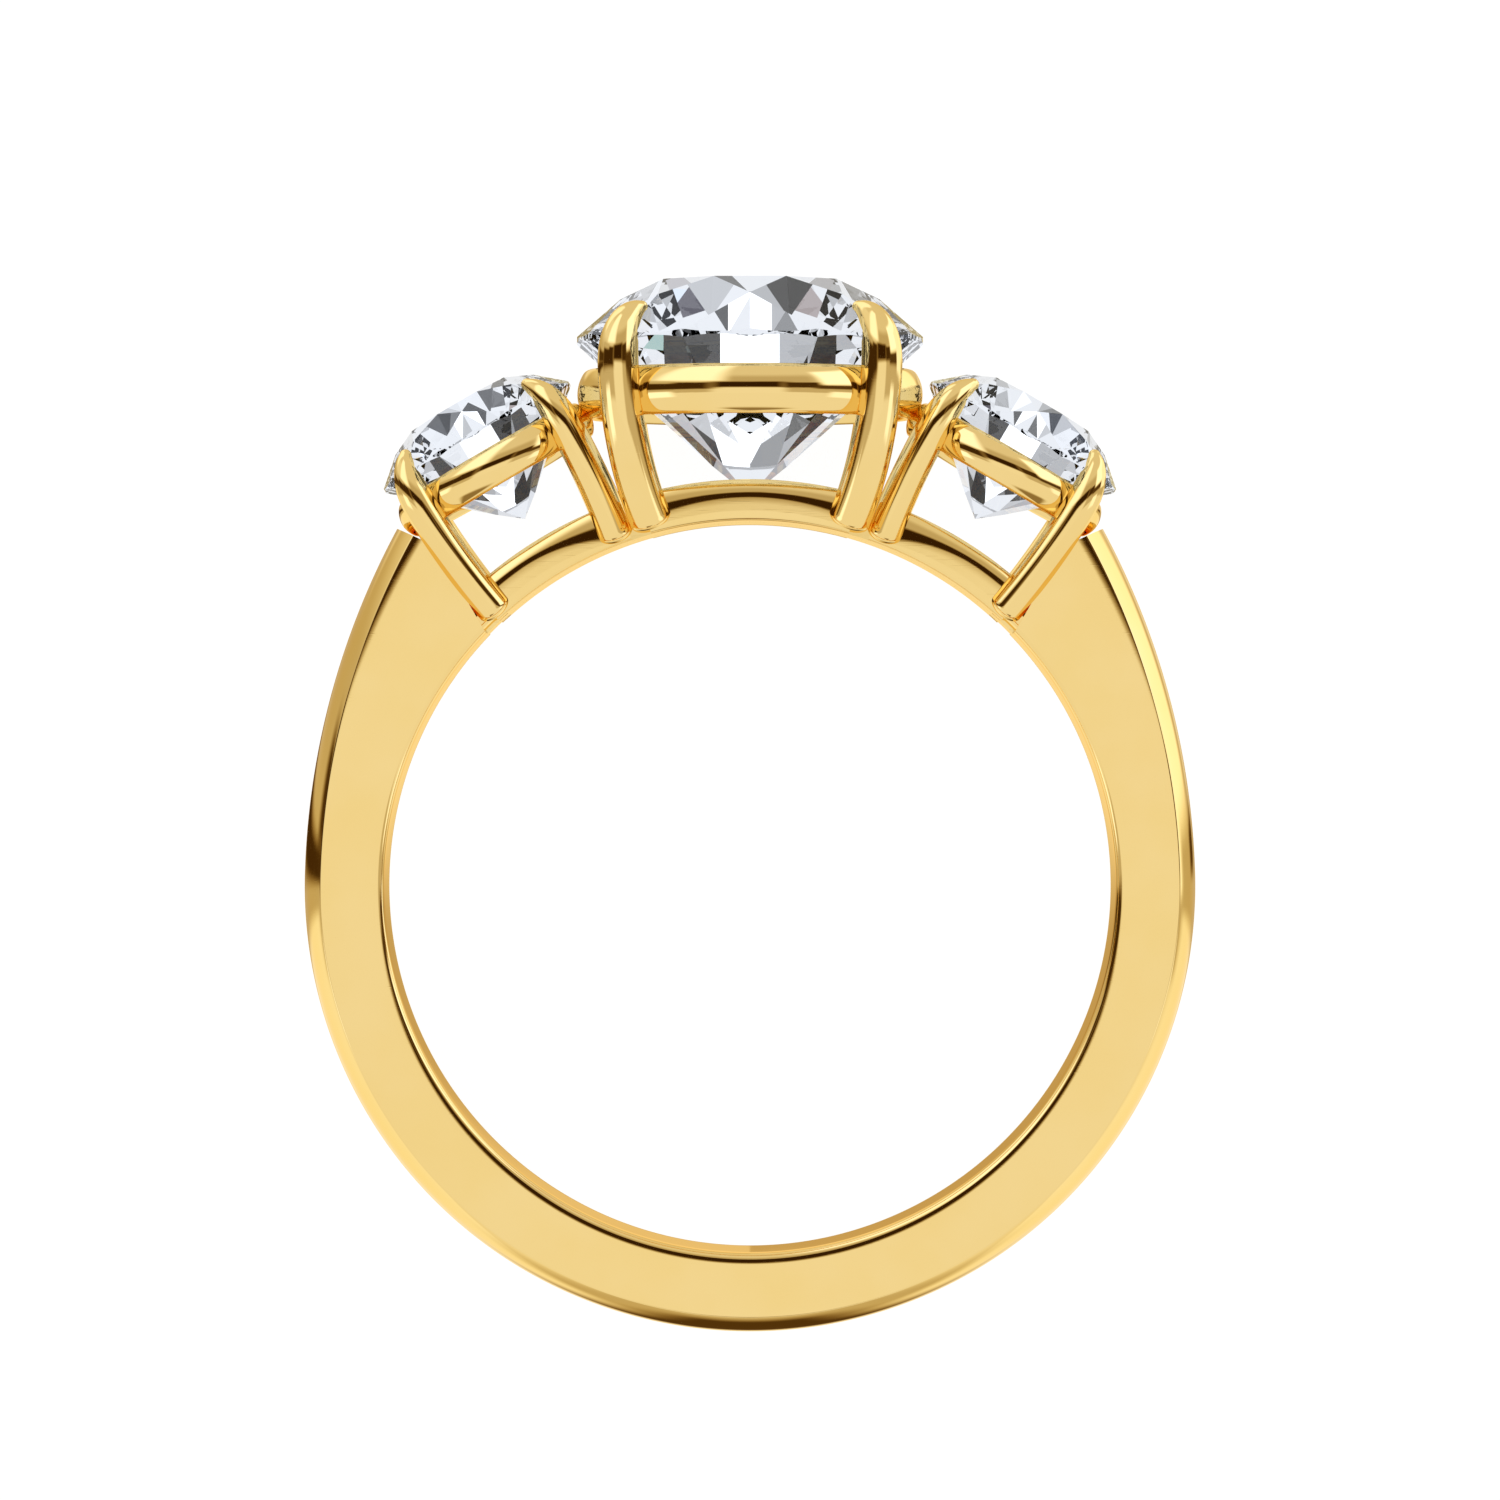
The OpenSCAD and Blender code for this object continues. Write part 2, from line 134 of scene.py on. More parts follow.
def polishedGold(name, look):
    # Mirror polish: slow changes of tone and haze, with stretched noise for hairlines and fine noise
    # for the grain as bump
    material = bpy.data.materials.new(name)
    material.use_nodes = True
    sheet = Sheet(material.node_tree)
    place = sheet.add("ShaderNodeTexCoord", output=3)
    slow = sheet.add("ShaderNodeTexNoise", None, {
        "Vector": place, "Scale": look["slowScale"], "Detail": 3.0,
    })
    fine = sheet.add("ShaderNodeTexNoise", None, {
        "Vector": place, "Scale": look["fineScale"], "Detail": 4.0,
    })
    turned = sheet.add("ShaderNodeMapping", None, {
        "Vector": place, "Rotation": look["hairTurn"], "Scale": look["hairStretch"],
    })
    lines = sheet.add("ShaderNodeTexNoise", None, {
        "Vector": turned, "Scale": look["hairScale"], "Detail": 2.0,
    })
    tone = sheet.add("ShaderNodeMix", {"data_type": "RGBA"}, {
        0: sheet.smooth(slow, 0.3, 0.7), 6: look["color"], 7: look["warm"],
    }, output=2)
    haze = look["polish"] + sheet.smooth(slow * 0.7 + fine * 0.3, 0.35, 0.75) * look["haze"]
    bump = sheet.add("ShaderNodeBump", None, {
        "Height": sheet.smooth(lines, 0.6, 0.8) + fine * 0.5,
        "Strength": look["scratches"], "Distance": 0.00001,
    })
    metal = sheet.add("ShaderNodeBsdfPrincipled", None, {
        "Base Color": tone, "Metallic": 1.0, "Roughness": haze, "Normal": bump, "IOR": 1.5,
        "Specular Tint": look["edge"],
    })
    sheet.add("ShaderNodeOutputMaterial", None, {"Surface": metal})
    return material


gold = polishedGold("polishedGold", goldLook)


def ringedGrid(rows, columns):
    # Quads between neighbouring rows, each row closing on itself, and a fan to a pole at each end
    row = np.arange(rows - 1)[:, None] * columns
    here = np.arange(columns)
    beside = (here + 1) % columns
    quads = np.stack([row + here, row + beside, row + columns + beside, row + columns + here], -1)
    last = (rows - 1) * columns
    first = rows * columns
    startFan = np.stack([beside, here, np.full(columns, first)], -1)
    endFan = np.stack([last + here, last + beside, np.full(columns, first + 1)], -1)
    return quads.reshape(-1, 4).tolist() + startFan.tolist() + endFan.tolist()


def capped(grid):
    # The grid's points, and after them the middle of the first row and of the last
    return np.concatenate([grid.reshape(-1, 3), grid[:1].mean(1), grid[-1:].mean(1)])


def ringedTorus(rows, columns):
    # Quads of a grid that closes on itself both ways
    row = np.arange(rows)[:, None]
    below = (row + 1) % rows
    here = np.arange(columns)
    beside = (here + 1) % columns
    quads = np.stack([
        row * columns + here, row * columns + beside, below * columns + beside, below * columns + here,
    ], -1)
    return quads.reshape(-1, 4).tolist()


def meshOf(name, parts):
    # One mesh from several parts, each its points in the ring's frame and its faces, facing outwards
    points, faces, count = [], [], 0
    for partPoints, partFaces in parts:
        laidPoints = laid(partPoints)
        if solidVolume(laidPoints, partFaces) < 0:
            partFaces = [face[::-1] for face in partFaces]
        points.append(laidPoints)
        faces += [[count + corner for corner in face] for face in partFaces]
        count += len(laidPoints)
    mesh = bpy.data.meshes.new(name)
    mesh.from_pydata(np.concatenate(points).tolist(), [], faces)
    mesh.update()
    return mesh


def solidVolume(points, faces):
    # Sum of the signed volumes between each face's first triangle and the origin, twice for a quad
    corners = np.array([face[:3] for face in faces])
    others = np.array([[face[0], face[-2], face[-1]] for face in faces if len(face) > 3])
    triangles = np.concatenate([corners, others]) if len(others) else corners
    a, b, c = (points[triangles[:, i]] for i in range(3))
    return np.einsum("ij,ij->i", a, np.cross(b, c)).sum()


def madePiece(name, mesh, cutters=(), edgeDegrees=40.0):
    # Puts the piece in the scene, takes the cutters' room out of it, and keeps edges past the angle
    # sharp
    mesh.polygons.foreach_set("use_smooth", np.ones(len(mesh.polygons), bool))
    piece = bpy.data.objects.new(name, mesh)
    bpy.context.collection.objects.link(piece)
    held = []
    for number, cutterMesh in enumerate(cutters):
        cutterMesh.polygons.foreach_set("use_smooth", np.ones(len(cutterMesh.polygons), bool))
        cutter = bpy.data.objects.new(f"{name}Cutter{number}", cutterMesh)
        bpy.context.collection.objects.link(cutter)
        cut = piece.modifiers.new(f"cut{number}", "BOOLEAN")
        cut.operation, cut.solver, cut.object = "DIFFERENCE", "MANIFOLD", cutter
        held.append(cutter)
    if held:
        seen = piece.evaluated_get(bpy.context.evaluated_depsgraph_get())
        cutMesh = bpy.data.meshes.new_from_object(seen)
        piece.modifiers.clear()
        piece.data = cutMesh
        cutMesh.name = name
    for cutter in held:
        bpy.data.objects.remove(cutter)
    piece.data.materials.clear()
    piece.data.materials.append(gold)
    piece.data.set_sharp_from_angle(angle=math.radians(edgeDegrees))
    piece.visible_transmission = False   # a stone shows its own light, and no metal behind it
    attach(piece, "root")
    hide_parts("mounting")
    print(f"{name}: {len(piece.data.vertices)} points")


def extruded(outline, low, high):
    # A flat outline carried from z low to z high: its points twice, walls between, and two lids
    outline = np.asarray(outline, float)
    count = len(outline)
    points = np.concatenate([
        np.column_stack([outline, np.full(count, level)]) for level in (low, high)
    ])
    here = np.arange(count)
    beside = (here + 1) % count
    walls = np.stack([here, beside, count + beside, count + here], -1).tolist()
    return points, walls + [here[::-1].tolist(), (count + here).tolist()]


def revolved(outline, steps):
    # A half outline, from a point on the axis to another, turned round the z axis
    outline = np.asarray(outline, float)
    turn = np.linspace(0, 2 * math.pi, steps, endpoint=False)
    radius, height = outline[1:-1, 0][:, None], outline[1:-1, 1][:, None]
    grid = np.stack([
        radius * np.cos(turn), radius * np.sin(turn), height + 0 * turn,
    ], -1)
    poles = np.array([[0, 0, outline[0, 1]], [0, 0, outline[-1, 1]]])
    return np.concatenate([grid.reshape(-1, 3), poles]), ringedGrid(len(outline) - 2, steps)


shankSize = {
    "width": 3.56,          # along the finger, below the middle
    "thickness": 1.92,      # at the bottom, to the top of the dome
    "domeRadius": 3.82,     # across the outside
    "edgeRound": 0.123,     # tightest radius of the rounding between the bore and the side faces
    "faceEase": 2.14,       # radius added where it leaves the side face, fading over faceFade degrees
    "faceFade": 5.0,
    "wallEase": 17.0,       # radius added where it joins the bore wall, fading over wallFade degrees
    "wallFade": 2.0,
    "arrisRound": 0.045,    # rounding between the side faces and the dome
    "rollWidth": 0.33,      # of the strip at the shoulders in which the side face bends to the arris
    "rollLeast": 0.02,      # its width below the middle
    "rollRadius": 1.8,
    "flareRadius": 238.0,   # of the side faces above the middle
    "shoulderShift": 7.616,  # of the shoulder arcs' centres past the bore's axis
    "shoulderSlope": 69 / 2380,     # of the line through them
    "endTurn": 152,         # from the foot, in degrees, to ends that the head's room takes away
    "stationsRound": 420,
}
stonePlace = {
    "centerD": 8.1, "sideD": 5.0, "centerRise": 4.255, "sideRise": 3.79,
    "sideAt": 31.3, "sideLean": 30.3,
}
centerY = boreR + stonePlace["centerRise"]
sideAt = math.radians(stonePlace["sideAt"])
sideX = (boreR + stonePlace["sideRise"]) * math.sin(sideAt)
sideY = (boreR + stonePlace["sideRise"]) * math.cos(sideAt)
endRoom = {"gapX": 2.1, "cornerY": -1.774, "slope": 55.3, "reach": 4.0, "along": 6}


def outsidePlace(turn, size):
    # Centre and radius of the dome's top at each turn from straight down: a circle round the bore,
    # and above the line through the two shoulder arcs' centres a larger circle round each of these
    outerR = boreR + size["thickness"]
    shift = size["shoulderShift"]
    drop = shift * size["shoulderSlope"]
    shoulderR = outerR + math.hypot(shift, drop)
    side = np.sign(turn)
    around = np.abs(turn)
    joint = math.pi / 2 + math.atan(size["shoulderSlope"])
    middle = np.where((around > joint)[:, None], np.column_stack([-side * shift, 0 * side - drop]), 0.0)
    radius = np.where(around > joint, shoulderR, outerR)
    return middle, radius


def boreRounding(size):
    # The radius of curvature at each tilt is a constant and two exponentials, one fading from each
    # end. Summed along the tilt it gives the way in towards the bore and the way along the finger
    tilt = np.radians(np.concatenate([
        np.linspace(0, 15, 13), np.linspace(20, 80, 11), np.linspace(83, 90, 12),
    ]))
    fine = np.linspace(0, math.pi / 2, 3000)
    radius = (
        size["edgeRound"] + size["faceEase"] * np.exp(-fine / math.radians(size["faceFade"]))
        + size["wallEase"] * np.exp((fine - math.pi / 2) / math.radians(size["wallFade"]))
    )
    inwards = np.cumsum(radius * np.cos(fine)) * fine[1]
    along = np.cumsum(radius * np.sin(fine)) * fine[1]
    return np.interp(tilt, fine, inwards), np.interp(tilt, fine, along)


def shankGrid(size):
    # One closed cross-section carried round the finger: bore wall, rounding, side face, rounded
    # arris, dome, and the same again. The dome turns round the circle that outsidePlace gives.
    reach = math.radians(size["endTurn"])
    turn = reach * np.linspace(-1, 1, size["stationsRound"])
    way = np.column_stack([np.sin(turn), -np.cos(turn)])
    middle, radius = outsidePlace(turn, size)
    height = boreR * -np.cos(turn)
    flare = size["flareRadius"] - np.sqrt(size["flareRadius"] ** 2 - np.maximum(height, 0) ** 2)
    half = (size["width"] / 2 + flare)[:, None]

    inwards, along = boreRounding(size)
    innerR = boreR + inwards[-1] - inwards[::-1]
    innerZ = half - along[::-1]
    inner = innerR[:, None] * way[:, None]

    # The outside's way is the line from its own centre through the same place on the bore
    out = boreR * way - middle
    out /= np.linalg.norm(out, axis=1, keepdims=True)
    dome, small = size["domeRadius"], size["arrisRound"]
    roll = size["rollLeast"] + size["rollWidth"] * np.clip(height / boreR, 0, 1)[:, None]
    drop = roll ** 2 / (2 * size["rollRadius"])
    cornerZ = half - drop - small
    across = np.sqrt((dome - small) ** 2 - cornerZ ** 2)
    cornerR = (radius[:, None] - dome) + across
    start = np.arctan2(cornerZ, across)
    swing = start + (math.pi / 2 - roll / size["rollRadius"] - start) * np.linspace(1, 0, 9)
    arrisR = cornerR + small * np.cos(swing)
    arrisZ = cornerZ + small * np.sin(swing)
    sweepUp = start * np.linspace(1, -1, 41)[1:-1]
    domeR = radius[:, None] - dome + dome * np.cos(sweepUp)
    domeZ = dome * np.sin(sweepUp)
    outerR = np.concatenate([arrisR, domeR, arrisR[:, ::-1]], 1)
    outerZ = np.concatenate([arrisZ, domeZ, -arrisZ[:, ::-1]], 1)
    outer = middle[:, None] + outerR[..., None] * out[:, None]

    # The side face is flat up to the strip, whose drop grows with the square of the way into it
    span = outer[:, :1] - inner[:, -1:]
    wide = np.linalg.norm(span, axis=2)
    flat = np.linspace(0, 1, 10)[1:-1]
    bent = np.linspace(0, 1, 10)[:-1]
    share = np.concatenate([(1 - roll / wide) * flat, 1 - roll / wide * (1 - bent)], 1)
    faceIn = inner[:, -1:] + span * share[..., None]
    faceZ = half - drop * np.concatenate([0 * flat, bent ** 2])
    plan = np.concatenate([inner, faceIn, outer, faceIn[:, ::-1], inner[:, ::-1]], 1)
    level = np.concatenate([innerZ, faceZ, outerZ, -faceZ, -innerZ[:, ::-1]], 1)
    return np.concatenate([plan, level[..., None]], 2)


def sidePoint(x, y, side):
    # Place in the ring's plane of a point of a side basket's frame: x outwards and y along its axis
    lean = math.radians(stonePlace["sideLean"])
    return [
        side * (sideX + x * math.cos(lean) + y * math.sin(lean)),
        sideY - x * math.sin(lean) + y * math.cos(lean),
    ]


def headRoom():
    # What the baskets take out of the shank: below each corner beside the prongs, above it outwards
    slope = math.radians(endRoom["slope"])
    x, y, far = endRoom["gapX"], endRoom["cornerY"], endRoom["reach"]
    corners = []
    for side in (-1, 1):
        low = sidePoint(x, y - far, side)
        corner = sidePoint(x, y, side)
        high = sidePoint(x + far * math.cos(slope), y + far * math.sin(slope), side)
        above = [high[0], high[1] + far]
        corners += [low, corner, high, above][::-side]
    return extruded(corners, -endRoom["along"], endRoom["along"])


shankPoints = shankGrid(shankSize)
madePiece(
    "shank",
    meshOf("shank", [(capped(shankPoints), ringedGrid(*shankPoints.shape[:2]))]),
    cutters=[meshOf("headRoom", [headRoom()])],
)

stoneCut = {                # shares of the stone's radius, and slopes in degrees
    "table": 0.54, "girdle": 0.0235, "crownSlope": 35.2, "star": 0.748, "lower": 0.78,
    "centerPavilion": 41.2, "sidePavilion": 40.8,
    "halfFacet": 22.5,      # half the angle between two main facets
    "claspGap": 0.012,      # between the metal and a stone
}
stoneFrames = {             # place in the ring's plane, lean to the left, diameter, pavilion slope
    "center": (0.0, centerY, 0.0, stonePlace["centerD"], stoneCut["centerPavilion"]),
    "left": (-sideX, sideY, stonePlace["sideLean"], stonePlace["sideD"], stoneCut["sidePavilion"]),
    "right": (sideX, sideY, -stonePlace["sideLean"], stonePlace["sideD"], stoneCut["sidePavilion"]),
}


def atStone(points, which):
    # A stone's frame has its axis along z and the finger's length along y
    x, y, lean = stoneFrames[which][:3]
    points = np.asarray(points)
    turn = math.radians(lean)
    sideways = np.array([math.cos(turn), math.sin(turn), 0.0])
    upwards = np.array([-math.sin(turn), math.cos(turn), 0.0])
    axes = np.array([sideways, [0.0, 0.0, -1.0], upwards])
    return np.array([x, y, 0.0]) + points @ axes


def seatRoom(which):
    # The stone's round room in the metal: its own outline, turned round, with a gap all round it
    diameter, pavilion = stoneFrames[which][3:]
    r = diameter / 2
    gap = stoneCut["claspGap"]
    girdle = stoneCut["girdle"] * r
    crown = math.tan(math.radians(stoneCut["crownSlope"]))
    sharp = math.cos(math.radians(stoneCut["halfFacet"]))
    table = girdle + (1 - stoneCut["table"]) * r * crown
    star = table - (stoneCut["star"] * sharp - stoneCut["table"]) * r * crown
    steep = math.tan(math.radians(pavilion))
    slope = (1 - (1 - stoneCut["lower"]) * sharp) * steep / stoneCut["lower"]
    outline = [
        [0, -girdle - slope * r - gap], [r + gap, -girdle], [r + gap, girdle],
        [stoneCut["star"] * r + gap, star + gap], [stoneCut["table"] * r, table + gap], [0, table + gap],
    ]
    points, faces = revolved(outline, 192)
    return meshOf("seat", [(atStone(points, which), faces)])


# Each prong's place where its hook starts, its two radii of curvature and their turns in degrees,
# the wire's radii, the share that the tip loses, and the ways over which the hook and taper set in
centerProngs = {
    "reach": 4.306, "hookY": -0.313, "bend": 7.83, "bendTurn": 39.4, "hook": 0.938, "hookTurn": 75.7,
    "wireTop": 0.473, "wireFoot": 0.507, "thin": 0.698, "taperPower": 2.3, "lead": 0.4,
    "ease": 0.8, "delay": 0.09,
}
sideProngs = {
    "reach": 2.7206, "hookY": -0.5244, "bend": 13.2, "bendTurn": 18.5, "hook": 1.09, "hookTurn": 47.7,
    "wireTop": 0.401, "wireFoot": 0.411, "thin": 0.647, "taperPower": 2.2, "lead": 0.4,
    "ease": 0.8, "delay": 0.13,
}
prongFoot = {"rise": 0.28, "long": 0.22}     # where its rounding starts above the bore, and its length


def summed(steps):
    # The running sum of the steps, starting from nought
    return np.concatenate([[0], np.cumsum(steps)])


def prongGrid(size, turn, which):
    # A round wire in the plane of the stone's axis. Its curvature passes smoothly from the long bend
    # to the hook over the crown, and its sums are the angle and the place. The radius falls over the
    # hook by a power of the way, to a round tip, and an elliptic end stands on the bore's band
    bend, hook, ease, delay = (size[name] for name in ("bend", "hook", "ease", "delay"))
    bendTurn, hookTurn = math.radians(size["bendTurn"]), math.radians(size["hookTurn"])
    sharper = 1 / hook - 1 / bend
    bendLong, hookLong = bend * bendTurn, (hookTurn + delay * sharper) * hook
    way = np.concatenate([np.linspace(-bendLong, -ease, 50), np.linspace(-ease, hookLong, 80)[1:]])
    share = np.clip((way - delay) / (2 * ease) + 0.5, 0, 1)
    curve = 1 / bend + sharper * share ** 2 * (3 - 2 * share)
    step = np.diff(way)
    angle = -bendTurn + summed(step * (curve[1:] + curve[:-1]) / 2)
    between = (angle[1:] + angle[:-1]) / 2
    x = size["reach"] - bend * (1 - math.cos(bendTurn)) - summed(step * np.sin(between))
    y = size["hookY"] - bend * math.sin(bendTurn) + summed(step * np.cos(between))
    up = np.clip(1 + way / bendLong, 0, 1)
    over = np.clip((way + size["lead"]) / (hookLong + size["lead"]), 0, 1)
    wire = size["wireFoot"] + (size["wireTop"] - size["wireFoot"]) * up
    radius = wire * (1 - size["thin"] * over ** size["taperPower"])

    # The round tip, and the foot where the wire comes down to its rise above the bore
    tipTurn = np.linspace(0, math.pi / 2, 9)[1:-1]
    tipRadius = radius[-1]
    x = np.concatenate([x, x[-1] - tipRadius * np.sin(tipTurn) * math.sin(angle[-1])])
    y = np.concatenate([y, y[-1] + tipRadius * np.sin(tipTurn) * math.cos(angle[-1])])
    radius = np.concatenate([radius, tipRadius * np.cos(tipTurn)])
    angle = np.concatenate([angle, np.full(len(tipTurn), angle[-1])])
    heading = math.radians(turn)
    inRing = atStone(np.stack([x * math.cos(heading), x * math.sin(heading), y], -1), which)
    first = np.argmax(np.hypot(inRing[:, 0], inRing[:, 1]) > boreR + prongFoot["rise"])
    footTurn = np.linspace(math.pi / 2, 0, 12)[1:-1]
    down = prongFoot["long"] * np.sin(footTurn)
    x = np.concatenate([x[first] + down * math.sin(angle[first]), x[first:]])
    y = np.concatenate([y[first] - down * math.cos(angle[first]), y[first:]])
    radius = np.concatenate([radius[first] * np.cos(footTurn), radius[first:]])
    angle = np.concatenate([np.full(len(footTurn), angle[first]), angle[first:]])
    around = np.linspace(0, 2 * math.pi, 48, endpoint=False)
    outwards = x[:, None] + radius[:, None] * np.cos(around) * np.cos(angle)[:, None]
    aside = radius[:, None] * np.sin(around)
    upwards = y[:, None] + radius[:, None] * np.cos(around) * np.sin(angle)[:, None]
    grid = np.stack([
        outwards * math.cos(heading) - aside * math.sin(heading),
        outwards * math.sin(heading) + aside * math.cos(heading),
        upwards,
    ], -1)
    poles = capped(grid)
    left = tipRadius * (1 - math.sin(tipTurn[-1]))
    tip = [x[-1] - left * math.sin(angle[-1]), y[-1] + left * math.cos(angle[-1])]
    poles[-1] = [tip[0] * math.cos(heading), tip[0] * math.sin(heading), tip[1]]
    return poles, ringedGrid(*grid.shape[:2])


def boreRoom():
    # The finger's room, a little long at both ends
    steps = np.linspace(0, 2 * math.pi, 256, endpoint=False)
    outline = (boreR + wallGap["room"]) * np.column_stack([np.cos(steps), np.sin(steps)])
    return extruded(outline, -8, 8)


boreMesh = meshOf("boreRoom", [boreRoom()])


def basketProngs(which, size):
    # Four prongs at the diagonals of the stone, with its room and the finger's taken out
    name = f"{which}Prongs"
    parts = []
    for turn in range(45, 360, 90):
        points, faces = prongGrid(size, turn, which)
        parts.append((atStone(points, which), faces))
    madePiece(name, meshOf(name, parts), cutters=[seatRoom(which), boreMesh.copy()], edgeDegrees=45.0)


basketProngs("center", centerProngs)
basketProngs("left", sideProngs)
basketProngs("right", sideProngs)

centerRail = {"radius": 3.73, "thickness": 0.62, "height": 1.15, "middle": -1.262, "edge": 0.2}
sideRail = {"radius": 2.29, "thickness": 0.52, "height": 0.875, "middle": -0.885, "edge": 0.16}


def ovalSection(size):
    # Four arcs that pass smoothly into each other: two flat ones at the sides and two small ones
    a, b, e = size["thickness"] / 2, size["height"] / 2, size["edge"]
    flat = (a * a + (b - e) ** 2 - e * e) / (2 * (a - e))
    turn = math.atan2(b - e, flat - a)
    side = turn * np.linspace(0, 1, 12, endpoint=False)
    end = turn + (math.pi / 2 - turn) * np.linspace(0, 1, 10)
    x = np.concatenate([a - flat + flat * np.cos(side), e * np.cos(end)])
    y = np.concatenate([flat * np.sin(side), b - e + e * np.sin(end)])
    quarter = np.column_stack([x, y])
    left = quarter[-2::-1] * [-1, 1]
    half = np.concatenate([quarter, left])
    return np.concatenate([half, -half[1:-1]])


def basketRail(which, size):
    # The oval section turned all the way round the stone's axis
    name = f"{which}Rail"
    section = ovalSection(size)
    turn = np.linspace(0, 2 * math.pi, 240, endpoint=False)[:, None]
    radius = size["radius"] + section[:, 0]
    height = size["middle"] + section[:, 1] + 0 * turn
    grid = np.stack([radius * np.cos(turn), radius * np.sin(turn), height], -1)
    part = (atStone(grid.reshape(-1, 3), which), ringedTorus(*grid.shape[:2]))
    madePiece(name, meshOf(name, [part]), cutters=[seatRoom(which)])


basketRail("center", centerRail)
basketRail("left", sideRail)
basketRail("right", sideRail)

footRail = {
    "thickness": 0.8, "height": 0.955, "bevel": 0.09, "crownAcross": 0.22,
    "centerFace": 2.2, "sideFace": 1.76,     # outer faces from the ring's middle
    "centerReach": 15.6, "sideFrom": 18.8, "sideTo": 43.3,   # degrees from the top
    "centerCrown": 0.435, "centerDeeper": 0.0009,            # way down, and more by degrees squared
    "sideCrown": 0.375, "sideDeeper": 0.0022, "sideEven": 36.0,
}


def footSection(size, face, down):
    # Radius and place along the finger: a quarter ellipse over each upper edge with a flat between,
    # flat sides, and a rounded lower edge at the outer face. Each row has its own way down.
    topR, across, edge = boreR + size["height"], size["crownAcross"], size["bevel"]
    down = down[:, None]
    turn = np.linspace(math.pi / 2, 0, 20)
    crownR = topR - down * (1 - np.cos(turn))
    crownZ = face - across * (1 - np.sin(turn))
    corner = np.linspace(0, math.pi / 2, 8)
    part = np.array([0.33, 0.66])
    flatR = boreR + edge + (topR - down - boreR - edge) * part
    lowR = boreR + wallGap["rail"] + np.concatenate([[0], edge * (1 - np.cos(corner))]) + 0 * down
    radius = np.concatenate([crownR, crownR[:, ::-1], lowR, flatR], 1)
    crownBack = 2 * face - size["thickness"] - crownZ
    lowZ = np.concatenate([[face - size["thickness"]], face - edge * (1 - np.sin(corner))])
    level = np.concatenate([crownZ, crownBack[::-1], lowZ, face + 0 * part])
    return radius, level + 0 * radius


def footRails(name, spans, face, crown, deeper, even):
    # The section carried round the bore between two angles from the top, at both faces of the head.
    # The crown reaches further down by the square of the way from the even angle towards the middle,
    # or from the middle outwards where the even angle is nought, and stays clear of the bore
    parts = []
    for low, high in spans:
        angle = np.linspace(low, high, 90)
        away = np.abs(angle) if even == 0 else np.maximum(even - np.abs(angle), 0)
        down = np.minimum(crown + deeper * away ** 2, footRail["height"] - 2 * footRail["bevel"])
        radius, level = footSection(footRail, face, down)
        turn = np.radians(90 + angle)[:, None]
        for side in (1, -1):
            grid = np.stack([radius * np.cos(turn), radius * np.sin(turn), side * level], -1)
            parts.append((capped(grid), ringedGrid(*grid.shape[:2])))
    madePiece(name, meshOf(name, parts), edgeDegrees=50.0)


centerSpan = (-footRail["centerReach"], footRail["centerReach"])
rightSpan = (footRail["sideFrom"], footRail["sideTo"])
leftSpan = (-footRail["sideTo"], -footRail["sideFrom"])
footRails(
    "centerFootRails", [centerSpan], footRail["centerFace"],
    footRail["centerCrown"], footRail["centerDeeper"], 0,
)
footRails(
    "sideFootRails", [rightSpan, leftSpan], footRail["sideFace"],
    footRail["sideCrown"], footRail["sideDeeper"], footRail["sideEven"],
)

footBand = {
    "thickness": 0.42,
    "spans": ((1.7, 41.5), (0.85, 50.5)),     # half width, and reach from the top in degrees
}


def footBands():
    # A flat rectangle carried round the bore, and a narrower one that runs on into the shank
    low, high = wallGap["band"], footBand["thickness"]
    radius = boreR + np.array([low, high, high, low])
    parts = []
    for halfWidth, reach in footBand["spans"]:
        turn = np.radians(90 + np.linspace(-reach, reach, 181))[:, None]
        level = halfWidth * np.array([-1, -1, 1, 1])
        grid = np.stack([radius * np.cos(turn), radius * np.sin(turn), level + 0 * turn], -1)
        parts.append((capped(grid), ringedGrid(*grid.shape[:2])))
    madePiece("footBands", meshOf("footBands", parts), edgeDegrees=30.0)


footBands()

tongue = {"halfWidth": 1.25, "height": 0.85, "from": 39.5, "to": 50.0, "roundness": 2.6}


def tongues():
    # A superellipse carried round the bore at each end of the shank, between the feet of the basket
    turn = np.linspace(0, 2 * math.pi, 40, endpoint=False)
    wave = np.column_stack([np.cos(turn), np.sin(turn)])
    wave = np.sign(wave) * np.abs(wave) ** (2 / tongue["roundness"])
    halfHeight = (tongue["height"] - wallGap["tongue"]) / 2
    middle = np.array([boreR + wallGap["tongue"] + halfHeight, 0])
    outline = middle + wave * [halfHeight, tongue["halfWidth"]]
    parts = []
    for side in (-1, 1):
        turn = np.radians(90 + side * np.linspace(tongue["from"], tongue["to"], 24))[:, None]
        grid = np.stack([
            outline[:, 0] * np.cos(turn), outline[:, 0] * np.sin(turn), outline[:, 1] + 0 * turn,
        ], -1)
        parts.append((capped(grid), ringedGrid(*grid.shape[:2])))
    madePiece("tongues", meshOf("tongues", parts))


tongues()

diamondLook = {"color": (1.0, 1.0, 1.0, 1.0), "index": 2.417, "outerShine": (0.03, 0.03, 0.03, 1.0)}


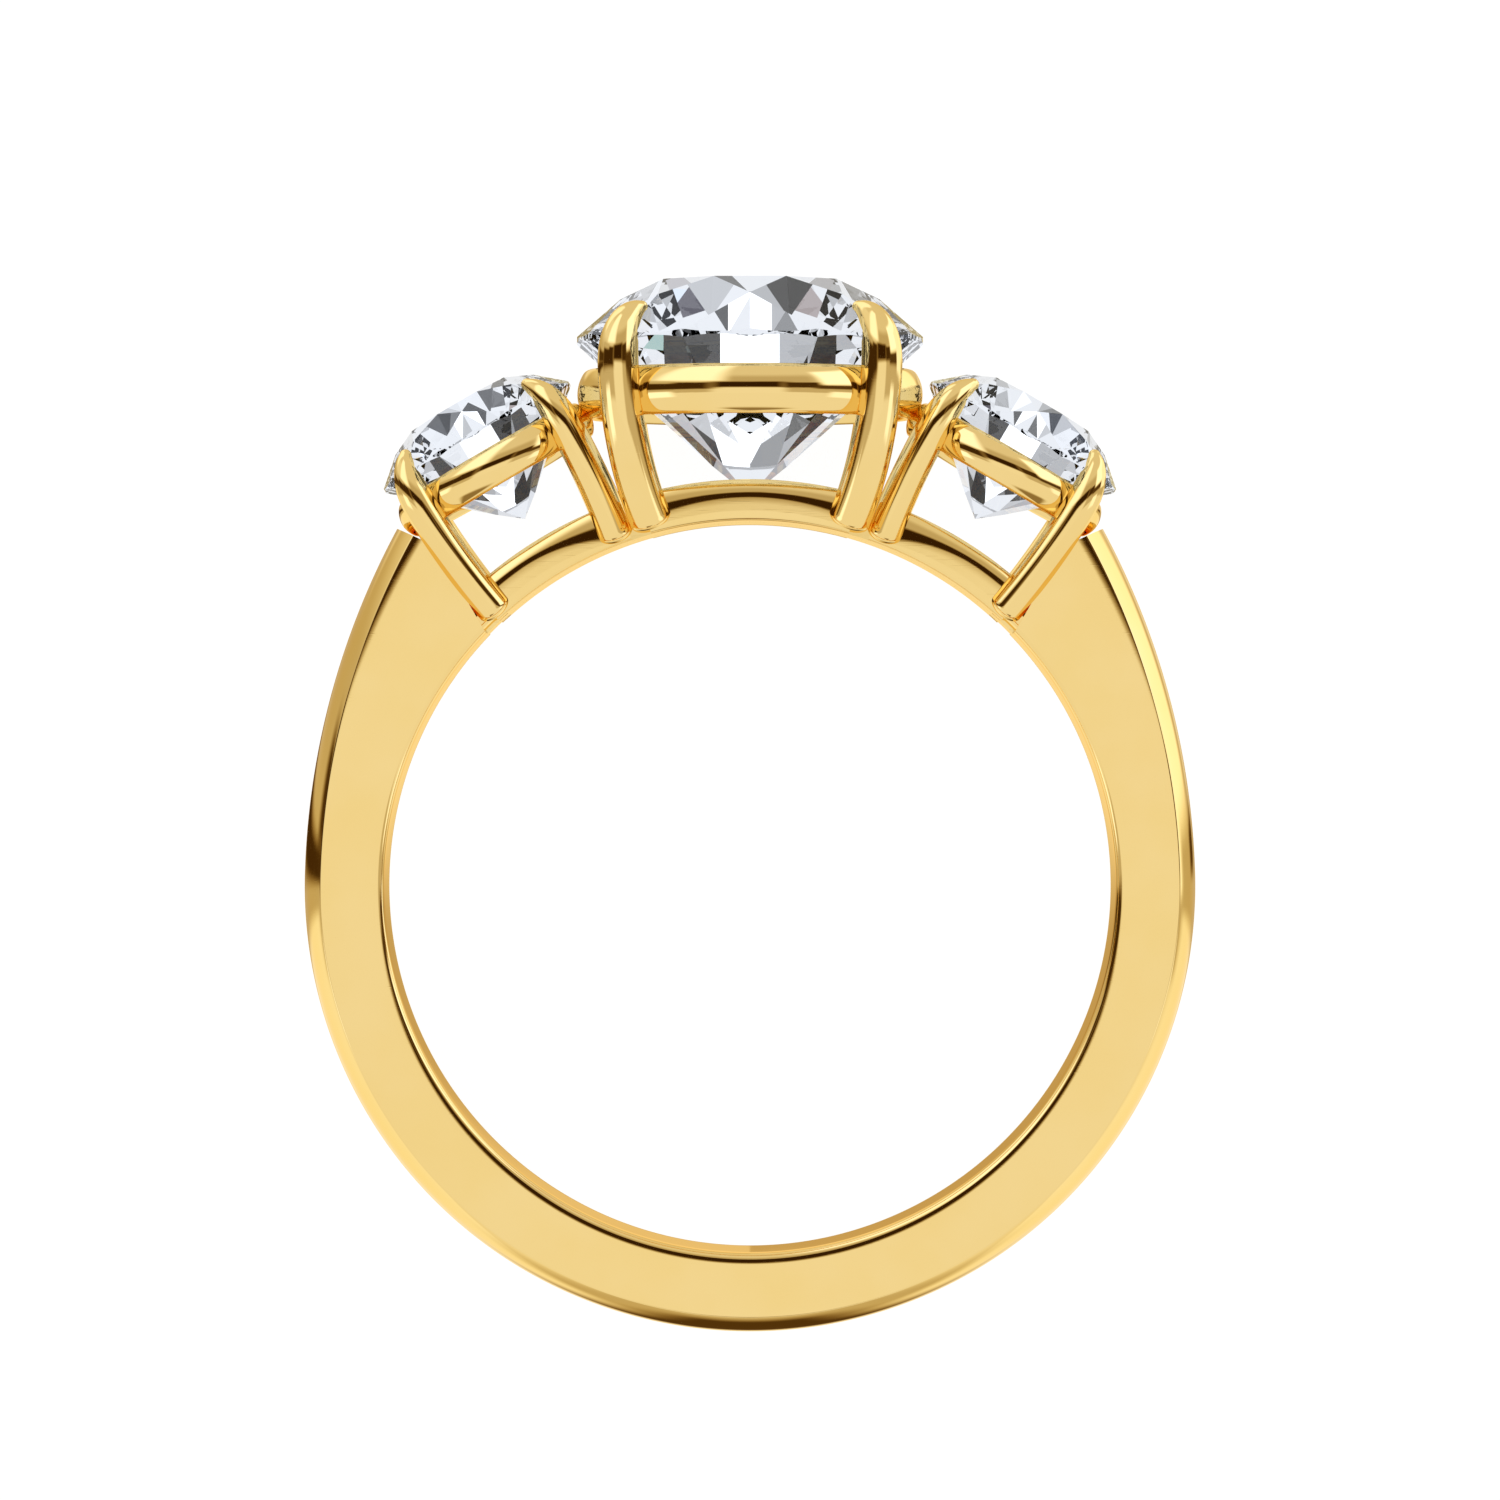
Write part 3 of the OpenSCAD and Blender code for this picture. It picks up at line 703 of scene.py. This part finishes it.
def clearDiamond(name, look):
    # Clear stone with a flat polish: faint traces of the polishing wheel show only as haze
    material = bpy.data.materials.new(name)
    material.use_nodes = True
    sheet = Sheet(material.node_tree)
    place = sheet.add("ShaderNodeTexCoord", output=3)
    traces = sheet.add("ShaderNodeTexNoise", None, {"Vector": place, "Scale": 2600.0, "Detail": 2.0})
    stone = sheet.add("ShaderNodeBsdfPrincipled", None, {
        "Base Color": look["color"], "Roughness": sheet.smooth(traces, 0.72, 0.95) * 0.01,
        "IOR": look["index"], "Transmission Weight": 1.0, "Specular Tint": look["outerShine"],
    })
    sheet.add("ShaderNodeOutputMaterial", None, {"Surface": stone})
    return material


diamond = clearDiamond("clearDiamond", diamondLook)
for stoneNode in ("center_stone", "left_stone", "right_stone"):
    frame["nodes"][stoneNode].data.materials.clear()
    frame["nodes"][stoneNode].data.materials.append(diamond)
print("stones: three round brilliants")

floorLook = {"half": 1.5, "shade": 0.14, "glow": 0.95}
half = floorLook["half"]
floorMesh = bpy.data.meshes.new("floor")
floorCorners = [(-half, -half, 0), (half, -half, 0), (half, half, 0), (-half, half, 0)]
floorMesh.from_pydata(floorCorners, [], [(0, 1, 2, 3)])
floor = bpy.data.objects.new("floor", floorMesh)
bpy.context.collection.objects.link(floor)
floor.visible_glossy = False             # the metal and the stones are lit by the studio alone
floor.visible_transmission = False


def paleFloor():
    # White paper with a share of its own light, as an overexposed sheet has, so that only a faint
    # contact shadow is left on it
    material = bpy.data.materials.new("paleFloor")
    material.use_nodes = True
    sheet = Sheet(material.node_tree)
    shade = sheet.add("ShaderNodeBsdfDiffuse", None, {"Color": (floorLook["shade"],) * 3 + (1.0,)})
    glow = sheet.add("ShaderNodeEmission", None, {"Strength": floorLook["glow"]})
    bright = sheet.add("ShaderNodeAddShader", None, {0: shade, 1: glow})
    sheet.add("ShaderNodeOutputMaterial", None, {"Surface": bright})
    return material


floorMesh.materials.append(paleFloor())

# The studio over the ring's own axes, in degrees round from the camera (to the right) and up from
# the ring's middle: soft boxes, dark flags and a painted shadow, each from and to round, from and to
# up, softness round and up, and tone. A later one covers an earlier one.
metalStudio = {
    "horizonGrey": (-200, 200, -10.5, 3, 5, 1.5, 0.54),
    "backGrey": (-200, -98, 2, 18, 6, 5, 0.54),
    "backWarm": (-200, -155, 11, 22, 5, 2, 1.0),
    "backRight": (150, 200, -3, 10, 3, 2, 0.57),
    "backRightPale": (160, 200, 1.5, 9, 3, 1.2, 0.9),
    "backLine": (-172, -92, -0.6, 2.2, 5, 0.8, 0.03),
    "backLineRight": (150, 161, -0.3, 1.7, 3, 0.6, 0.05),
    "leftRear": (-134, -88, 1.5, 9.5, 4, 2, 0.04),
    "frontFloor": (-26, 24, -14, 2.5, 5, 1.2, 0.95),
    "rearLeft": (-200, -128, -36, -3.5, 6, 1, 1.1),
    "rearRight": (132, 200, -36, -3.5, 6, 1, 1.1),
    "wallFloorLeft": (-200, -172, -14, -1.1, 2, 0.6, 1.12),
    "wallFloorRight": (172, 200, -14, -1.1, 2, 0.6, 1.12),
    "wallGlowLeft": (-200, -174, 4.5, 9, 3, 1, 1.15),
    "wallGlowRight": (174, 200, 4.5, 9, 3, 1, 1.15),
    "footDuskLeft": (-200, -154, -56, -33, 8, 5, 0.55),
    "footDuskRight": (154, 200, -56, -33, 8, 5, 0.55),
    # Painted shadow: two dark patches low and straight behind the ring stand in for the ring's own
    # contact shadow on the floor, as the metal mirrors it
    "footLeft": (-200, -170, -46, -16, 5, 5, 0.05),
    "footRight": (170, 200, -46, -16, 5, 5, 0.05),
    "underFront": (-28, 42, -95, -59, 10, 5, 0.22),
    "frontDusk": (-16, 46, 15, 37, 6, 7, 0.5),
    "frontFlag": (-27, 25, 3.2, 20, 8, 2.4, 0.015),
    "leftFlag": (-92, -24, -1.2, 17.5, 9, 2, 0.025),
    "leftCorner": (-95, -54, 14, 20, 6, 2, 0.55),
    "rightFlag": (22, 50, 2.5, 17.5, 5, 2, 0.03),
    "sideFlag": (44, 92, 0, 9.5, 5, 2, 0.05),
    "leftStrip": (-80, -54, -21, -7, 4, 2, 1.45),
    "rightStrip": (56, 80, -21, -7, 4, 2, 1.35),
    "leftBox": (-70, -21, 22, 76, 9, 3, 1.42),
    "leftHighBox": (-157, -106, 28, 76, 6, 6, 1.32),
    "leftGap": (-106, -72, 24, 53, 6, 4, 0.9),
    "rightBox": (50, 134, 11.5, 46, 5, 3.5, 1.55),
    "rightLowBox": (92, 131, -2, 30, 4, 1.5, 1.3),
    "rightRearBox": (125, 153, 3, 24, 4, 2, 1.42),
}

# The cards that show through the facets, which turn the light of what stands behind the ring into
# black, grey and white planes
stoneStudio = {
    "backWhite": (-200, -174, -6, 6, 2, 1.5, 1.6),
    "backWhiteRight": (161, 200, -3, 16, 2, 2, 1.5),
    "leftVeil": (-176, -162, 1, 8, 2, 2, 0.36),
    "leftCard": (-162, -132, 0.5, 26, 2, 2, 0.52),
    "leftLow": (-174, -120, -25, -12, 2, 2, 0.09),
    "leftDark": (-171, -133, -12, 0.5, 1.5, 1.2, 0.035),
    "leftFar": (-118, -98, 0, 12, 3, 2, 0.48),
    "lowGrey": (172, 200, -15, -10, 3, 2, 0.5),
    "lowWhite": (168, 200, -27, -17, 2, 2, 1.2),
    "rightLowGrey": (160, 177, -19, -11, 2, 2, 0.6),
    "rightLowDark": (161, 177, -10.5, 0.5, 1.5, 1.5, 0.04),
    "rightDark": (149, 161, -13, 11, 1.5, 2, 0.08),
    "rightGrey": (130, 149, -14, 2, 2, 1.5, 0.58),
    "rightSideDark": (117, 148, 3.5, 16, 2, 1.5, 0.08),
    "rightHigh": (124, 150, 18, 38, 3, 2, 0.48),
    "lowSlot": (149, 158, -33, -26, 2, 2, 0.17),
    "frontGrey": (-62, 62, -20, 6, 4, 3, 0.5),
    "frontLowDark": (-64, -34, -18, -8, 3, 2, 0.15),
    "frontViolet": (42, 58, 6.5, 14, 3, 1.5, 0.1),
    "frontPink": (-60, -40, 2, 14, 3, 2, 0.4),
    "frontSlot": (-59, -48, 30, 37, 2, 2, 0.32),
}

# Faintly tinted spots in the same light, for the stones' fire: each its span, softness and colour
stoneTints = {
    "violet": (44, 54, 5, 13, 3, 2, (0.88, 0.84, 1.14, 1.0)),
    "teal": (-39, -29, -4, 4, 3, 2, (0.66, 1.06, 1.02, 1.0)),
    "pink": (-54, -44, 5, 13, 3, 2, (1.04, 0.93, 0.97, 1.0)),
    "blue": (42, 53, -54, -42, 3, 3, (0.86, 0.97, 1.14, 1.0)),
}
studioTone = {
    "ground": 0.93, "skyDrop": 0.16, "horizon": 3,   # where no patch lies, on the metal
    "channelPowers": (0.79, 1.0, 1.45),              # gold darkens to brown
    "glanceFrom": 6, "glanceTo": 17,                 # degrees from straight behind
    "inStone": 0.9, "stoneColor": (0.93, 0.97, 1.04, 1.0),
}


def patchMask(sheet, around, up, left, right, low, high, softRound, softUp):
    # A window of two smooth steps round and two up
    def window(wire, start, end, soft):
        begun = sheet.smooth(wire, start - soft, start + soft)
        return begun * (1 - sheet.smooth(wire, end - soft, end + soft))

    return window(around, left, right, softRound) * window(up, low, high, softUp)


def paintedWay(sheet, around, up, base, patches):
    # Each patch is painted over what is there already
    tone = base
    for *span, level in patches.values():
        tone = tone + patchMask(sheet, around, up, *span) * (level - tone)
    return tone


def studioLight():
    # Rays that leave the metal see one set of patches, rays that leave a stone through a facet see
    # the other, and the camera sees plain white
    world = bpy.data.worlds.new("studio")
    bpy.context.scene.world = world
    world.use_nodes = True
    world.cycles.sampling_method = "NONE"    # mirrors find the light themselves
    sheet = Sheet(world.node_tree)
    way = sheet.add("ShaderNodeTexCoord", output=0)
    turned = sheet.add("ShaderNodeMapping", {"vector_type": "POINT"}, {
        "Vector": way, "Rotation": (-boreLean, 0.0, 0.0),
    })
    x, y, z = (
        sheet.add("ShaderNodeSeparateXYZ", None, {"Vector": turned}, output=axis) for axis in range(3)
    )
    degree = 180 / math.pi
    around = sheet.sum("ARCTAN2", x, z) * degree
    up = sheet.sum("ARCSINE", y) * degree
    horizon = studioTone["horizon"]
    fromGround = studioTone["ground"] - sheet.smooth(up, -horizon, horizon) * studioTone["skyDrop"]
    metalTone = paintedWay(sheet, around, up, fromGround, metalStudio)
    # Each channel is a power of the tone, and straight behind the ring the light is toned by as
    # much as metal whitens where it is seen edge-on
    fromBehind = sheet.sum("ARCCOSINE", z * -1.0) * degree
    glance = 1 - sheet.smooth(fromBehind, studioTone["glanceFrom"], studioTone["glanceTo"])
    channels = {}
    powers = studioTone["channelPowers"]
    for name, own, power in zip(("Red", "Green", "Blue"), goldLook["color"], powers):
        channels[name] = metalTone ** power * own / (own + (1 - own) * glance)
    metalColor = sheet.add("ShaderNodeCombineColor", None, channels)
    stoneTone = paintedWay(sheet, around, up, studioTone["inStone"], stoneStudio)
    onMetal = sheet.add("ShaderNodeBackground", None, {"Color": metalColor, "Strength": 1.0})
    stoneColor = studioTone["stoneColor"]
    for *span, tint in stoneTints.values():
        stoneColor = sheet.add("ShaderNodeMix", {"data_type": "RGBA"}, {
            0: patchMask(sheet, around, up, *span), 6: stoneColor, 7: tint,
        }, output=2)
    inStone = sheet.add("ShaderNodeBackground", None, {"Color": stoneColor, "Strength": stoneTone})
    plain = sheet.add("ShaderNodeBackground", None, {"Color": (1.0, 1.0, 1.0, 1.0), "Strength": 1.0})
    through = sheet.add("ShaderNodeLightPath", output=6)
    seen = sheet.add("ShaderNodeLightPath", output=0)
    behind = sheet.add("ShaderNodeMixShader", None, {0: through, 1: onMetal, 2: inStone})
    whole = sheet.add("ShaderNodeMixShader", None, {0: seen, 1: behind, 2: plain})
    sheet.add("ShaderNodeOutputWorld", None, {"Surface": whole})


studioLight()

photoView = {"height": 3.18, "distance": 190.0, "angle": 10.56}


def photoCamera():
    # Square to the ring, a little above the bore's middle and far away, so leaning as the ring leans
    data = bpy.data.cameras.new("photoCamera")
    camera = bpy.data.objects.new("photoCamera", data)
    bpy.context.collection.objects.link(camera)
    data.sensor_width, data.angle = 36.0, math.radians(photoView["angle"])
    data.clip_start, data.clip_end = 0.01, 20.0
    camera.location = laid([0.0, photoView["height"], photoView["distance"]])
    camera.rotation_euler = (boreLean, 0.0, 0.0)
    bpy.context.scene.camera = camera


photoCamera()

scene = bpy.context.scene
scene.view_settings.view_transform = "Standard"
scene.view_settings.look = "None"
bounces = {"max_bounces": 16, "transmission_bounces": 16, "glossy_bounces": 10, "diffuse_bounces": 1}
for bounceName, most in bounces.items():
    setattr(scene.cycles, bounceName, most)

print("scene: made")
